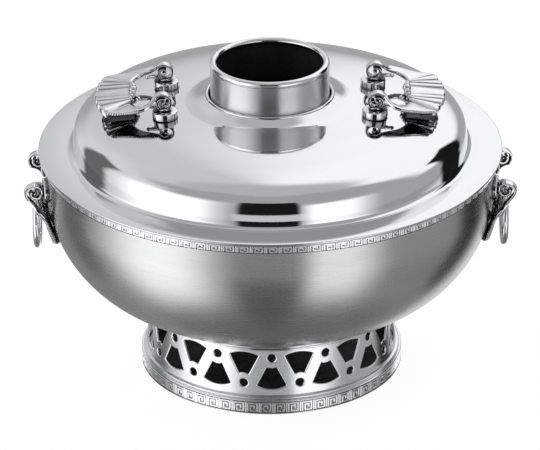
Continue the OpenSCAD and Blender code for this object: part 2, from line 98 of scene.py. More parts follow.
# Lid
DOME_R = 127 * MM
DOME_FLAT_R = 52 * MM
DOME_Z = rim_z + 32.8 * MM
SHOULDER_H = 24 * MM
SHOULDER_POWER = 2.75
RIM_FILLET = 3.5 * MM
WALL_DRAFT = 1.0 * MM
DRAFT_H = 8.1 * MM
BOSS_H = 4.6 * MM
BOSS_OUT_R = 50.5 * MM
BOSS_BLEND = 4.5 * MM
SHOULDER_STEPS = 56
BOSS_STEPS = 24
DOME_SAG = 1.6 * MM
COLLAR_RING_R = tube_r + 2.3 * MM
COLLAR_R = 1.1 * MM
BEAD_R = 2.3 * MM
BEAD_PROUD = 0.3 * MM

# Castings
HANDLE_R = 67 * MM
HANDLE_SLOPE = math.radians(5)
HANDLE_FOOT_H = 3.6 * MM
LUG_Z = rim_z - 19.6 * MM
LUG_PITCH = 0.93
LUG_LIFT = 3 * MM
LUG_GAP = 0.3 * MM
DISC_R = 8.2 * MM
DISC_EDGE = 0.9 * MM
DISC_SUNK = 1.0 * MM
LUG_DISC_H = 3.4 * MM
VOLUTE_V = 24 * MM
VOLUTE_R = 7.2 * MM
VOLUTE_W = 6 * MM
VOLUTE_T = 0.95 * MM
VOLUTE_PITCH = 3.0 * MM
COIL_U = 0.8 * MM
COIL_W = 5.0 * MM
ROOT_U = 17 * MM

# Rings, eyes and studs
RING_R = 18.4 * MM
RING_WIRE_R = 2.2 * MM
EYE_X = BOWL_R + 6 * MM
EYE_Z = rim_z - 30.4 * MM
EYE_HOLE_R = 2.9 * MM
EYE_WIRE_R = 1.5 * MM
HANG_Z = EYE_Z - 0.45 * MM
SHANK_R = 2 * MM
SHANK_IN = 5.6 * MM
WASHER_R = 3.6 * MM
WASHER_LOW = 0.3 * MM
WASHER_HIGH = 1.1 * MM
STUD_Z = rim_z - 49.2 * MM
STUD_R = 6.25 * MM
STUD_SEAT = 2.5 * MM
STUD_EDGE = 0.4 * MM
STUD_SIDE_H = 1.8 * MM
STUD_DOME_H = 2.8 * MM
STEM_R = 2.4 * MM
STEM_H = 8 * MM

# The right side's castings and rings are turned about the pot's axis for the left side
SIDES = (("right", Matrix.Rotation(0, 4, "Z")), ("left", Matrix.Rotation(math.pi, 4, "Z")))


# ---------- Mesh tools ----------

# Points closer than this on a lathe's axis, and on the edge that two wall cells share, are joined
POLE_GAP = 0.001 * MM
CELL_GAP = 0.02 * MM


def piece(name, verts, faces, body, slot, materials, replaces=(), sharp=40, face_slots=None):
    """A mesh that rides on a body, smooth up to the sharp angle."""
    mesh = bpy.data.meshes.new(name)
    mesh.from_pydata([tuple(v) for v in verts], [], faces)
    for material in materials:
        mesh.materials.append(material)
    if face_slots:
        mesh.polygons.foreach_set("material_index", face_slots)
    mesh.polygons.foreach_set("use_smooth", [True] * len(mesh.polygons))
    mesh.set_sharp_from_angle(angle=math.radians(sharp))
    obj = bpy.data.objects.new(name, mesh)
    bpy.context.scene.collection.objects.link(obj)
    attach(obj, body)
    if replaces:
        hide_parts(*replaces)
    return obj


def merge_points(obj, distance):
    """Joins a piece's points that lie closer together than a distance."""
    bm = bmesh.new()
    bm.from_mesh(obj.data)
    bmesh.ops.remove_doubles(bm, verts=bm.verts[:], dist=distance)
    bm.to_mesh(obj.data)
    bm.free()


def lathe(profile, segments=224, closed=True):
    """Vertices and faces of a profile of (radius, height) turned about Z, outside to the right."""
    verts = [
        (r * math.cos(FULL_TURN * s / segments), r * math.sin(FULL_TURN * s / segments), z)
        for s in range(segments)
        for r, z in profile
    ]
    n = len(profile)
    faces = []
    for s in range(segments):
        a, b = s * n, (s + 1) % segments * n
        for i in range(n if closed else n - 1):
            j = (i + 1) % n
            faces.append((a + i, b + i, b + j, a + j))
    return verts, faces


def arc(cx, cz, r, start, end, steps):
    """Points of an arc in the (radius, height) plane, angles in degrees."""
    angles = [math.radians(start + (end - start) * i / steps) for i in range(steps + 1)]
    return [(cx + r * math.cos(a), cz + r * math.sin(a)) for a in angles]


def ring_section(cx, cz, r, sides=28):
    """A closed round section in the (radius, height) plane."""
    return arc(cx, cz, r, 0, 360 - 360 / sides, sides - 1)


def placed(verts, matrix):
    return [matrix @ Vector(v) for v in verts]


def joined(parts):
    """Several (vertices, faces) as one."""
    verts, faces = [], []
    for v, f in parts:
        base = len(verts)
        verts += v
        faces += [tuple(base + i for i in face) for face in f]
    return verts, faces


def curve_value(a, b, c, d, t):
    """Value at share t between b and c of a smooth curve through a, b, c and d."""
    square, cube = 2 * a - 5 * b + 4 * c - d, 3 * b - a - 3 * c + d
    return 0.5 * (2 * b + (c - a) * t + square * t * t + cube * t**3)


def smooth_path(points, steps):
    """A smooth curve through points, each a tuple of any length."""
    ends = [points[0], *points, points[-1]]
    made = []
    for i in range(1, len(ends) - 2):
        p0, p1, p2, p3 = ends[i - 1 : i + 3]
        for s in range(steps):
            made.append(tuple(curve_value(*four, s / steps) for four in zip(p0, p1, p2, p3)))
    made.append(tuple(points[-1]))
    return made


def sweep(path, half_w, half_t, across, sides=14, square=2.6):
    """A bar of squared-ellipse section along path; across holds the direction of its width.

    Sections stand square to the bar's rise, whatever its sideways bends.
    """
    verts, faces = [], []
    n = len(path)
    for i in range(n):
        before, after = Vector(path[max(i - 1, 0)]), Vector(path[min(i + 1, n - 1)])
        t = (after - before) * Vector((1, 0, 1))
        t.normalize()
        side = (across[i] - across[i].dot(t) * t).normalized()
        up = t.cross(side)
        for k in range(sides):
            a = FULL_TURN * k / sides
            c, s = math.cos(a), math.sin(a)
            x = math.copysign(abs(c) ** (2 / square), c)
            y = math.copysign(abs(s) ** (2 / square), s)
            verts.append(Vector(path[i]) + half_w[i] * x * side + half_t[i] * y * up)
    for i in range(n - 1):
        for k in range(sides):
            a, b = i * sides + k, i * sides + (k + 1) % sides
            faces.append((a, b, b + sides, a + sides))
    faces.append(tuple(range(sides - 1, -1, -1)))
    faces.append(tuple((n - 1) * sides + k for k in range(sides)))
    return verts, faces


def ball(centre, radii, rings=9, sides=16):
    """An ellipsoid's vertices and faces."""
    c = Vector(centre)
    verts = [c + Vector((0, 0, -radii[2]))]
    for i in range(1, rings):
        polar = math.pi * i / rings - math.pi / 2
        for k in range(sides):
            a = FULL_TURN * k / sides
            x = radii[0] * math.cos(polar) * math.cos(a)
            y = radii[1] * math.cos(polar) * math.sin(a)
            verts.append(c + Vector((x, y, radii[2] * math.sin(polar))))
    verts.append(c + Vector((0, 0, radii[2])))
    faces = [(0, 1 + (k + 1) % sides, 1 + k) for k in range(sides)]
    for i in range(rings - 2):
        for k in range(sides):
            a, b = 1 + i * sides + k, 1 + i * sides + (k + 1) % sides
            faces.append((a, b, b + sides, a + sides))
    top, last = len(verts) - 1, 1 + (rings - 2) * sides
    faces += [(last + k, last + (k + 1) % sides, top) for k in range(sides)]
    return verts, faces


# ---------- Materials ----------


class Graph:
    """Small helper that adds nodes to a tree and links them."""

    def __init__(self, tree):
        self.tree = tree
        tree.nodes.clear()

    def add(self, kind, *links, **settings):
        """A node of a kind; links fill its inputs in order, settings are attributes or inputs."""
        node = self.tree.nodes.new(kind)
        for key, value in settings.items():
            if hasattr(node, key):
                setattr(node, key, value)
            else:
                self.fill(node.inputs[key.replace("_", " ")], value)
        for socket, value in zip(node.inputs, links):
            self.fill(socket, value)
        return node

    def fill(self, socket, value):
        if isinstance(value, bpy.types.Node):
            value = next(o for o in value.outputs if o.enabled)
        if isinstance(value, bpy.types.NodeSocket):
            self.tree.links.new(value, socket)
        elif value is not None:
            socket.default_value = value

    def math(self, operation, a, b=None):
        return self.add("ShaderNodeMath", a, b, operation=operation)

    def fade(self, value, low, high, out_low=0.0, out_high=1.0):
        """Smooth step of value from low to high."""
        return self.add(
            "ShaderNodeMapRange", value, low, high, out_low, out_high, interpolation_type="SMOOTHSTEP"
        )


def new_material(name):
    material = bpy.data.materials.new(name)
    material.use_nodes = True
    return material, Graph(material.node_tree)


def finish_steel(graph, colour, roughness, normal, aniso=0.0, metallic=1.0):
    """A metal surface: colour and roughness may be links, anisotropy is a plain number."""
    shader = graph.add(
        "ShaderNodeBsdfPrincipled",
        Base_Color=colour,
        Metallic=metallic,
        Roughness=roughness,
        Normal=normal,
        Anisotropic=aniso,
    )
    if aniso:
        tangent = graph.add("ShaderNodeTangent", direction_type="RADIAL", axis="Z")
        graph.fill(shader.inputs["Tangent"], tangent)
        shader.inputs["Anisotropic Rotation"].default_value = 0.25
    graph.add("ShaderNodeOutputMaterial", shader)


def turned_coordinates(graph, around):
    """Coordinates (radius, height, turn) that stretch a texture round the Z axis."""
    point = graph.add("ShaderNodeSeparateXYZ", graph.add("ShaderNodeTexCoord").outputs["Object"])
    x, y, z = point.outputs
    squares = graph.math("ADD", graph.math("MULTIPLY", x, x), graph.math("MULTIPLY", y, y))
    radius = graph.math("SQRT", squares)
    turn = graph.math("MULTIPLY", graph.math("ARCTAN2", y, x), around)
    return graph.add("ShaderNodeCombineXYZ", radius, z, turn)


def tinted(graph, coords, scale, dark, light):
    """Soft change of colour between two tones."""
    noise = graph.add("ShaderNodeTexNoise", coords, Scale=scale, Detail=3.0)
    mix = graph.add("ShaderNodeMix", data_type="RGBA")
    graph.fill(mix.inputs["Factor"], graph.fade(noise, 0.3, 0.7))
    graph.fill(mix.inputs[6], (*dark, 1))
    graph.fill(mix.inputs[7], (*light, 1))
    return mix.outputs[2]


def satin_steel(name, dark, light, roughness, spread, aniso):
    """Steel brushed in circles: fine rings in its bump and roughness, and softly toned."""
    material, graph = new_material(name)
    coords = turned_coordinates(graph, 0.004)
    grain = graph.add("ShaderNodeTexNoise", coords, Scale=2600.0, Detail=2.0)
    broad = graph.add("ShaderNodeTexNoise", turned_coordinates(graph, 0.03), Scale=45.0, Detail=2.0)
    rough = graph.fade(grain, 0.3, 0.7, roughness - spread, roughness + spread)
    rough = graph.math("ADD", rough, graph.math("MULTIPLY", broad, 0.04))
    bump = graph.add("ShaderNodeBump", Strength=0.25, Distance=0.00002, Height=grain.outputs[0])
    finish_steel(graph, tinted(graph, coords, 30.0, dark, light), rough, bump, aniso)
    return material


def mirror_steel(name, dark, light, roughness):
    """Polished steel: near mirror, with faint circular polishing marks and handling haze."""
    material, graph = new_material(name)
    coords = turned_coordinates(graph, 0.002)
    marks = graph.add("ShaderNodeTexNoise", coords, Scale=1800.0, Detail=2.0)
    plain = graph.add("ShaderNodeTexCoord").outputs["Object"]
    haze = graph.add("ShaderNodeTexNoise", plain, Scale=28.0, Detail=4.0)
    rough = graph.fade(marks, 0.35, 0.7, roughness * 0.6, roughness * 1.3)
    rough = graph.math("ADD", rough, graph.fade(haze, 0.45, 0.75, 0.0, 0.03))
    bump = graph.add("ShaderNodeBump", Strength=0.05, Distance=0.00001, Height=marks.outputs[0])
    finish_steel(graph, tinted(graph, coords, 25.0, dark, light), rough, bump)
    return material


def cast_metal(name, dark, light, shade_tone, roughness):
    """Polished casting: bright on its ridges, dull in its hollows and darkened there with painted shade."""
    material, graph = new_material(name)
    coords = graph.add("ShaderNodeTexCoord").outputs["Object"]
    skin = graph.add("ShaderNodeTexNoise", coords, Scale=900.0, Detail=3.0)
    # Painted shade: ambient occlusion mixes the colour towards a dark tone in hollows and corners.
    occlusion = graph.add("ShaderNodeAmbientOcclusion", Distance=0.003, samples=6)
    depth = graph.fade(occlusion.outputs["AO"], 0.45, 0.95)
    mix = graph.add("ShaderNodeMix", data_type="RGBA")
    graph.fill(mix.inputs["Factor"], depth)
    graph.fill(mix.inputs[6], (*shade_tone, 1))
    graph.fill(mix.inputs[7], tinted(graph, coords, 120.0, dark, light))
    dull = graph.fade(depth, 0.0, 1.0, 0.35, 0.0)
    rough = graph.math("ADD", dull, graph.math("MULTIPLY", skin, roughness * 2))
    bump = graph.add("ShaderNodeBump", Strength=0.12, Distance=0.00008, Height=skin.outputs[0])
    finish_steel(graph, mix.outputs[2], rough, bump)
    return material


def grainy_iron(name, dark, light, roughness, metallic):
    """Cast or heat-stained iron with a coarse, dusty skin."""
    material, graph = new_material(name)
    coords = graph.add("ShaderNodeTexCoord").outputs["Object"]
    skin = graph.add("ShaderNodeTexNoise", coords, Scale=420.0, Detail=6.0)
    rough = graph.fade(skin, 0.3, 0.7, roughness - 0.12, roughness + 0.12)
    bump = graph.add("ShaderNodeBump", Strength=0.5, Distance=0.0002, Height=skin.outputs[0])
    finish_steel(graph, tinted(graph, coords, 60.0, dark, light), rough, bump, metallic=metallic)
    return material


def grey(level):
    return (level, level, level)


def steel(level):
    """A faintly blue grey."""
    return (level, level + 0.01, level + 0.02)


def make_materials():
    return {
        "bowl": satin_steel("satin_bowl", (0.55, 0.57, 0.56), (0.61, 0.63, 0.62), 0.24, 0.03, 0.75),
        "trim": satin_steel("satin_trim", steel(0.78), steel(0.86), 0.22, 0.03, 0.8),
        "tube": satin_steel("satin_tube", steel(0.76), steel(0.82), 0.36, 0.02, 1.0),
        "mirror": mirror_steel("mirror_steel", steel(0.76), steel(0.82), 0.05),
        "casting": cast_metal("cast_metal", steel(0.74), steel(0.84), grey(0.06), 0.07),
        # Painted shade: a dark copy of the casting for its faces that face down.
        "underside_shade": cast_metal("underside_shade", grey(0.05), grey(0.1), grey(0.02), 0.2),
        # Lighter, smoother steel for the keys, rails and the foot's hole rims; its tone, lighter than the
        # trim, is a painted highlight.
        "key_line": satin_steel("key_line", steel(0.82), steel(0.9), 0.16, 0.03, 0.0),
        # A dark grey ground between the keys, with painted shade in its corners from the ambient occlusion
        # mix.
        "key_ground": cast_metal("key_ground", grey(0.22), grey(0.32), grey(0.08), 0.15),
        # Near-black rough iron for the pipe's bore.
        "bore_black": grainy_iron("bore_black", grey(0.006), grey(0.02), 0.75, 0.2),
        "iron": grainy_iron("iron", grey(0.05), grey(0.11), 0.65, 0.8),
        "fastener": satin_steel("fastener", (0.50, 0.50, 0.51), (0.60, 0.60, 0.61), 0.3, 0.05, 0.0),
    }


# ---------- Bowl, chimney and lid ----------


def corner(inset, steps=40):
    """The bowl's round corner from its flat bottom up to its wall."""
    angles = [math.pi / 2 * i / steps for i in range(steps + 1)]
    return [
        (
            BOWL_FLOOR_R + (BOWL_R - BOWL_FLOOR_R - inset) * math.sin(a),
            CORNER_Z - (BOWL_CORNER_H - inset) * math.cos(a),
        )
        for a in angles
    ]


def bowl_out(z):
    """Radius of the bowl's outside at a height."""
    if z >= CORNER_Z:
        return BOWL_R
    rise = (CORNER_Z - z) / BOWL_CORNER_H
    return BOWL_FLOOR_R + (BOWL_R - BOWL_FLOOR_R) * math.sqrt(max(0.0, 1 - rise * rise))


def make_bowl(mats):
    flange_r = bowl_high.x
    edge = SHEET / 2
    profile = [
        (THROAT_R, foot_h),
        *corner(0),
        (BOWL_R, rim_z - SHEET - 0.6 * MM),
        (BOWL_R + 0.6 * MM, rim_z - SHEET),
        *arc(flange_r - edge, rim_z - edge, edge, -90, 90, 8),
        (BOWL_R - SHEET + 0.6 * MM, rim_z),
        (BOWL_R - SHEET, rim_z - 0.6 * MM),
        *reversed(corner(SHEET)),
        (THROAT_R, foot_h + SHEET),
    ]
    piece("bowl_shell", *lathe(profile), "base", "brushed_bowl", [mats["bowl"]], ["bowl"])


def make_chimney(mats):
    bore_r = tube_r - SHEET
    outside = [(tube_r, tube_low.z), (tube_r, tube_high.z)]
    inside = [(bore_r, tube_high.z), (bore_r, tube_low.z)]
    verts, faces = lathe(outside + inside)
    # The bore is the third of each strip's four faces
    slots = [1 if i % 4 == 2 else 0 for i in range(len(faces))]
    piece(
        "chimney_pipe", verts, faces, "base", "polished_steel", [mats["tube"], mats["bore_black"]],
        ["chimney_tube"], face_slots=slots,
    )
    bead = ring_section(tube_r - BEAD_R + BEAD_PROUD, mouth_z - BEAD_R, BEAD_R, 40)
    piece("chimney_lip", *lathe(bead), "base", "polished_steel", [mats["mirror"]], ["chimney_bead"])


def dome_sag(r):
    """How far the dome's slight cone falls below its flat crown at a radius."""
    share = (r - DOME_FLAT_R) / (DOME_R - DOME_FLAT_R)
    return DOME_SAG * math.sin(math.pi * max(0.0, min(1.0, share)))


def lid_profile(inset):
    """The lid's outside from its rim to its collar; inset gives the inside."""
    fillet = RIM_FILLET + inset
    rim_top = rim_z + SHEET
    points = arc(DOME_R + WALL_DRAFT + RIM_FILLET, rim_top + RIM_FILLET, fillet, -90, -180, 12)
    draft_top = rim_top + RIM_FILLET + DRAFT_H
    wall = DOME_R - inset
    for i in range(SHOULDER_STEPS + 1):
        t = math.pi / 2 * i / SHOULDER_STEPS
        r = DOME_FLAT_R + (wall - DOME_FLAT_R) * max(math.cos(t), 0) ** (2 / SHOULDER_POWER)
        z = DOME_Z - SHOULDER_H + (SHOULDER_H - inset) * math.sin(t) ** (2 / SHOULDER_POWER)
        if r > BOSS_OUT_R + BOSS_BLEND:
            draft = WALL_DRAFT * max(0.0, draft_top - z) / DRAFT_H
            points.append((r + draft, z - dome_sag(r)))
    boss_in = COLLAR_RING_R + COLLAR_R + 0.1 * MM
    for i in range(BOSS_STEPS + 1):
        r = BOSS_OUT_R + BOSS_BLEND - (BOSS_OUT_R + BOSS_BLEND - boss_in) * i / BOSS_STEPS
        rise = max(0.0, (BOSS_OUT_R - r) / (BOSS_OUT_R - boss_in))
        blend = max(0.0, 1 - abs(r - BOSS_OUT_R) / BOSS_BLEND) ** 2
        slope_share = BOSS_BLEND / (BOSS_OUT_R - boss_in) / 4
        points.append((r, DOME_Z - inset - dome_sag(r) + BOSS_H * (rise + blend * slope_share)))
    return points


def make_lid(mats):
    edge = SHEET / 2
    rim_edge = arc(lid_r - edge, rim_z + edge, edge, -90, 90, 8)
    profile = [*rim_edge, *lid_profile(0), *reversed(lid_profile(SHEET))]
    piece("lid_dome", *lathe(profile), "lid", "polished_steel", [mats["mirror"]], ["lid_shell"], sharp=50)
    collar = ring_section(COLLAR_RING_R, DOME_Z + BOSS_H, COLLAR_R)
    piece("lid_collar_wire", *lathe(collar), "lid", "polished_steel", [mats["mirror"]], ["lid_collar"])


# ---------- Foot ----------


def sector_outline(centre_z, steps=18):
    """A pierced fan below its centre, anticlockwise, as (across, height)."""
    outer = [(-FAN_HALF + 2 * FAN_HALF * i / steps) for i in range(steps + 1)]
    points = [(FAN_OUT * math.sin(a), centre_z - FAN_OUT * math.cos(a)) for a in outer]
    points += [(FAN_IN * math.sin(a), centre_z - FAN_IN * math.cos(a)) for a in reversed(outer[::3])]
    return points


def grown(points, distance):
    """A closed anticlockwise outline moved outwards by a distance, with mitred corners."""
    n = len(points)
    made = []
    for i, (x, y) in enumerate(points):
        ax, ay = x - points[i - 1][0], y - points[i - 1][1]
        bx, by = points[(i + 1) % n][0] - x, points[(i + 1) % n][1] - y
        la, lb = math.hypot(ax, ay), math.hypot(bx, by)
        nx, ny = ay / la + by / lb, -ax / la - bx / lb
        scale = 2 / max(nx * nx + ny * ny, 0.6)
        made.append((x + distance * nx * scale, y + distance * ny * scale))
    return made


def wall_radius(z):
    """Radius of the foot wall's outside at a height."""
    lean = (z - WALL_LOW) / (foot_h - SHEET - WALL_LOW)
    return FOOT_BASE_R - 0.6 * MM + (FOOT_TOP_R - FOOT_BASE_R + 0.6 * MM) * lean


def cell_loop(bm, points, depth):
    return [bm.verts.new((x, depth, z)) for x, z in points]


def loop_edges(bm, loop):
    return [bm.edges.new((loop[i - 1], loop[i])) for i in range(len(loop))]


def cell_hole(bm, hole):
    """A hole's wall with a rounded front edge; gives its edges on the front and on the back."""
    loops = []
    for k in range(EDGE_STEPS + 1):
        a = math.pi / 2 * k / EDGE_STEPS
        rim = grown(hole, HOLE_EDGE * (1 - math.sin(a)))
        loops.append(cell_loop(bm, rim, HOLE_EDGE * (1 - math.cos(a))))
    loops.append(cell_loop(bm, hole, SHEET))
    front = loop_edges(bm, loops[0])
    for a, b in zip(loops, loops[1:]):
        for i in range(len(a)):
            bm.faces.new((a[i - 1], a[i], b[i], b[i - 1]))
    last = loops[-1]
    back = [bm.edges.get((last[i - 1], last[i])) for i in range(len(last))]
    return front, back


def cut_cell(bm, half_pitch):
    """Cuts that fall in the same places on the next cell, which stands upside down."""
    middle = (WALL_LOW + PATTERN_TOP) / 2
    cuts = [((half_pitch * i / 12, 0, 0), (1, 0, 0)) for i in range(-9, 10)]
    cuts += [((0, 0, middle + CUT_STEP * i), (0, 0, 1)) for i in range(-2, 3)]
    for point, normal in cuts:
        geometry = bm.verts[:] + bm.edges[:] + bm.faces[:]
        bmesh.ops.bisect_plane(bm, geom=geometry, plane_co=point, plane_no=normal)


def wall_cell():
    """One fan, its small hole and the wall round them, flat: (across, depth, height)."""
    mean_r = (FOOT_BASE_R + FOOT_TOP_R) / 2
    half_pitch = math.pi * mean_r / FAN_COUNT
    side = [(CELL_TOP, PATTERN_TOP), (CELL_WAIST, CELL_WAIST_Z)]
    side += [(half_pitch - x, WALL_LOW + PATTERN_TOP - z) for x, z in reversed(side)]
    outline = [(-x, z) for x, z in side] + [(x, z) for x, z in reversed(side)]
    turns = [FULL_TURN * i / HOLE_SIDES for i in range(HOLE_SIDES)]
    round_hole = [(HOLE_R * math.cos(a), HOLE_Z + HOLE_R * math.sin(a)) for a in turns]
    bm = bmesh.new()
    front = loop_edges(bm, cell_loop(bm, outline, 0))
    back = loop_edges(bm, cell_loop(bm, outline, SHEET))
    for hole in (sector_outline(HOLE_Z), round_hole):
        hole_front, hole_back = cell_hole(bm, hole)
        front += hole_front
        back += hole_back
    for flat in (front, back):
        bmesh.ops.triangle_fill(bm, use_beauty=True, use_dissolve=False, edges=flat)
    bm.verts.ensure_lookup_table()
    cut_cell(bm, half_pitch)
    bmesh.ops.recalc_face_normals(bm, faces=bm.faces[:])
    bm.verts.index_update()
    verts = [tuple(v.co) for v in bm.verts]
    faces = [tuple(v.index for v in f.verts) for f in bm.faces]
    # Rims and bores take the second material, a lighter steel whose tone paints a highlight on the rims
    rims = [0 if abs(f.normal.y) > 0.97 else 1 for f in bm.faces]
    bm.free()
    return verts, faces, rims, mean_r


def foot_wall(mats):
    """The pierced wall: one cell bent round the cone, every other one upside down."""
    verts, faces, rims, mean_r = wall_cell()
    parts = []
    for i in range(2 * FAN_COUNT):
        turn = -math.pi / 2 + math.pi * i / FAN_COUNT
        flipped = i % 2 == 1
        placed_verts = []
        for u, depth, z in verts:
            height = WALL_LOW + PATTERN_TOP - z if flipped else z
            radius = wall_radius(height) - depth
            angle = turn + (-u if flipped else u) / mean_r
            placed_verts.append((radius * math.cos(angle), radius * math.sin(angle), height))
        parts.append((placed_verts, faces))
    wall = piece(
        "foot_wall", *joined(parts), "base", "satin_trim", [mats["trim"], mats["key_line"]], ["foot_shell"],
        sharp=WALL_SHARP, face_slots=rims * (2 * FAN_COUNT),
    )
    merge_points(wall, CELL_GAP)
    wall.data.set_sharp_from_angle(angle=math.radians(WALL_SHARP))
    normals = wall.modifiers.new("flat_normals", "WEIGHTED_NORMAL")
    normals.keep_sharp = True


def foot_rings(mats):
    """Rounded step over the key band, and the neck and flange that carry the bowl."""
    step = [
        (FOOT_BASE_R - SHEET, foot_ring_h),
        (FOOT_BASE_R + 0.9 * MM, foot_ring_h),
        *arc(FOOT_BASE_R + 0.4 * MM, foot_ring_h + 1 * MM, 1 * MM, -60, 90, 10),
        (FOOT_BASE_R, WALL_LOW + 0.3 * MM),
        (FOOT_BASE_R - SHEET, WALL_LOW + 0.3 * MM),
    ]
    piece("foot_step", *lathe(step), "base", "satin_trim", [mats["trim"]])
    flange_in = BOWL_FLOOR_R - 5 * MM
    neck_r = wall_radius(PATTERN_TOP)
    flange = [
        (neck_r - SHEET, PATTERN_TOP),
        (neck_r, PATTERN_TOP),
        (FOOT_TOP_R, foot_h),
        (flange_in, foot_h),
        (flange_in, foot_h - SHEET),
        (neck_r - SHEET, foot_h - SHEET),
    ]
    piece("foot_flange", *lathe(flange), "base", "satin_trim", [mats["trim"]])


def foot_seam(mats):
    """Three fine beads up the foot's neck and one under the bowl."""
    seam = [(FOOT_TOP_R - 0.3 * MM, SEAM_LOW - SEAM_R)]
    for i in range(3):
        z = SEAM_LOW + 2.2 * SEAM_R * i
        seam += arc(wall_radius(z) + (0.35 + 0.25 * i) * MM, z, SEAM_R, -70, 70, 8)
    seam += [
        *arc(FOOT_TOP_R + 1.3 * MM, foot_h - 1.4 * MM, 0.9 * MM, -50, 95, 8),
        (FOOT_TOP_R - 0.3 * MM, foot_h - 0.4 * MM),
    ]
    piece("foot_seam", *lathe(seam), "base", "satin_trim", [mats["mirror"]], ["foot_bead"])


# ---------- Key bands ----------

# A bar and a square spiral, in shares of the pitch and of the height between the rails
KEY_BAR = [(0.07, 0.05), (0.07, 0.95)]
KEY_SPIRAL = [
    (0.22, 0.05),
    (0.22, 0.86),
    (0.9, 0.86),
    (0.9, 0.14),
    (0.42, 0.14),
    (0.42, 0.62),
    (0.7, 0.62),
    (0.7, 0.36),
]
# Half width of a key's line as a share of the pitch, and height of a rail as a share of the band
KEY_HALF = 0.062
RAIL_SHARE = 0.09
KEY_RELIEF = 0.4 * MM


def ribbon(path, half, height, place):
    """A raised line of trapezoid section along a flat path with mitred corners."""
    n = len(path)
    verts, faces = [], []
    for i, (x, y) in enumerate(path):
        a = Vector(path[max(i - 1, 0)])
        b = Vector(path[i])
        c = Vector(path[min(i + 1, n - 1)])
        first = (b - a).normalized() if i else (c - b).normalized()
        second = (c - b).normalized() if i < n - 1 else first
        normal = Vector((-first.y - second.y, first.x + second.x))
        normal = normal * (2 / normal.length_squared)
        for offset, h in ((-half, 0), (-half * 0.55, height), (half * 0.55, height), (half, 0)):
            verts.append(place(x + normal.x * offset, y + normal.y * offset, h))
    for i in range(n - 1):
        a, b = i * 4, i * 4 + 4
        faces += [(a + k, a + k + 1, b + k + 1, b + k) for k in range(3)]
    faces += [(0, 3, 2, 1), (4 * n - 4, 4 * n - 3, 4 * n - 2, 4 * n - 1)]
    return verts, faces


def key_band(radius, low, high, count, relief):
    """Bars and square spirals standing on a cylinder."""
    pitch = FULL_TURN * radius / count
    rail = RAIL_SHARE * (high - low)
    inner_low, inner_h = low + rail, high - low - 2 * rail

    def place(u, z, h):
        angle = u / radius
        return Vector(((radius + h) * math.cos(angle), (radius + h) * math.sin(angle), z))

    parts = []
    for i in range(count):
        for path in (KEY_BAR, KEY_SPIRAL):
            points = [((i + x) * pitch, inner_low + y * inner_h) for x, y in path]
            parts.append(ribbon(points, KEY_HALF * pitch, relief, place))
    return joined(parts)


def rail_profile(radius, low, high, relief):
    """Outline of a band's two raised rails above its ground."""
    rail = RAIL_SHARE * (high - low)
    soft = rail * 0.35
    return [
        (radius + relief - soft, low),
        (radius + relief, low + soft),
        (radius + relief, low + rail - soft),
        (radius, low + rail),
        (radius, high - rail),
        (radius + relief, high - rail + soft),
        (radius + relief, high - soft),
        (radius + relief - soft, high),
    ]


def make_key_bands(mats):
    relief = KEY_RELIEF
    band_high = rim_z - SHEET
    band_low = band_high - BAND_H
    for name, outer, low, high, count, back, node in (
        ("rim_keys", BOWL_R + 0.05 * MM + BAND_T, band_low, band_high, 102, BAND_T, "rim_band"),
        ("foot_keys", foot_ring_r, 0.0, foot_ring_h, 60, 1.5 * MM, "foot_ring"),
    ):
        ground = outer - relief
        profile = rail_profile(ground, low, high, relief)
        inner = outer - back
        if node == "foot_ring":
            web_in = FOOT_BASE_R - SHEET - 3 * MM
            profile += [(web_in, high), (web_in, high - back), (inner, high - back), (inner, low)]
        else:
            profile += [(inner, high), (inner, low)]
        verts, faces = lathe(profile)
        n = len(profile)
        # The ground between the rails and their inner slopes
        slots = [1 if 2 <= i % n <= 4 else 0 for i in range(len(faces))]
        keys = key_band(ground, low, high, count, relief)
        verts, faces = joined([(verts, faces), keys])
        slots += [0] * (len(faces) - len(slots))
        materials = [mats["key_line"], mats["key_ground"]]
        piece(name, verts, faces, "base", "satin_trim", materials, [node], sharp=25, face_slots=slots)


# ---------- Castings ----------


def on_lid(p):
    """A casting's point (out from its feet, sideways, up from them) laid on the lid's right side."""
    u, v, w = p
    z = DOME_Z + HANDLE_FOOT_H + 0.7 * MM
    c, s = math.cos(HANDLE_SLOPE), math.sin(HANDLE_SLOPE)
    return Vector((HANDLE_R + u * c + w * s, v, z - u * s + w * c))


def lug_rise(u):
    """Height of a lug's back off the bowl: level over its feet, then down to the wall."""
    t = max(0.0, min(1.0, (u - DISC_R - 0.3 * MM) / (ROOT_U - 3.5 * MM)))
    return LUG_GAP + (LUG_LIFT - LUG_GAP) * (1 - t * t * (3 - 2 * t))


def on_bowl(p):
    """The same point laid down the bowl's right side."""
    u, v, w = p
    z = LUG_Z - LUG_PITCH * u
    r = bowl_out(z) + lug_rise(u) + w
    a = v / BOWL_R
    return Vector((r * math.cos(a), r * math.sin(a), z))


# The fan's grooves, from its root to its outer edge, and how far it reaches (mm)
ROOT_LINES = (-15.5, -13.5, -11.2, -6.2, 6.2, 11.2, 13.5, 15.5)
OUTER_LINES = (-28.8, -18.9, -11.8, -6.4, 6.4, 11.8, 18.9, 28.8)
FAN_ROOT_U = 22.0
FAN_TIP_U = 44.5
FAN_EDGE_CURVE = 0.0078
FAN_ROOT_W = 4.4
FAN_OUTER_W = 3.5
FAN_THICK = 1.2
FAN_DROP = 2.6
FAN_LIP = 1.6
# The fan's sides lie this much lower than its middle, clear of a ring that swings in (mm)
FAN_BOW = 1.0
PLEAT_STEPS = 12
FAN_ROWS = 10
LIP_STEPS = 6


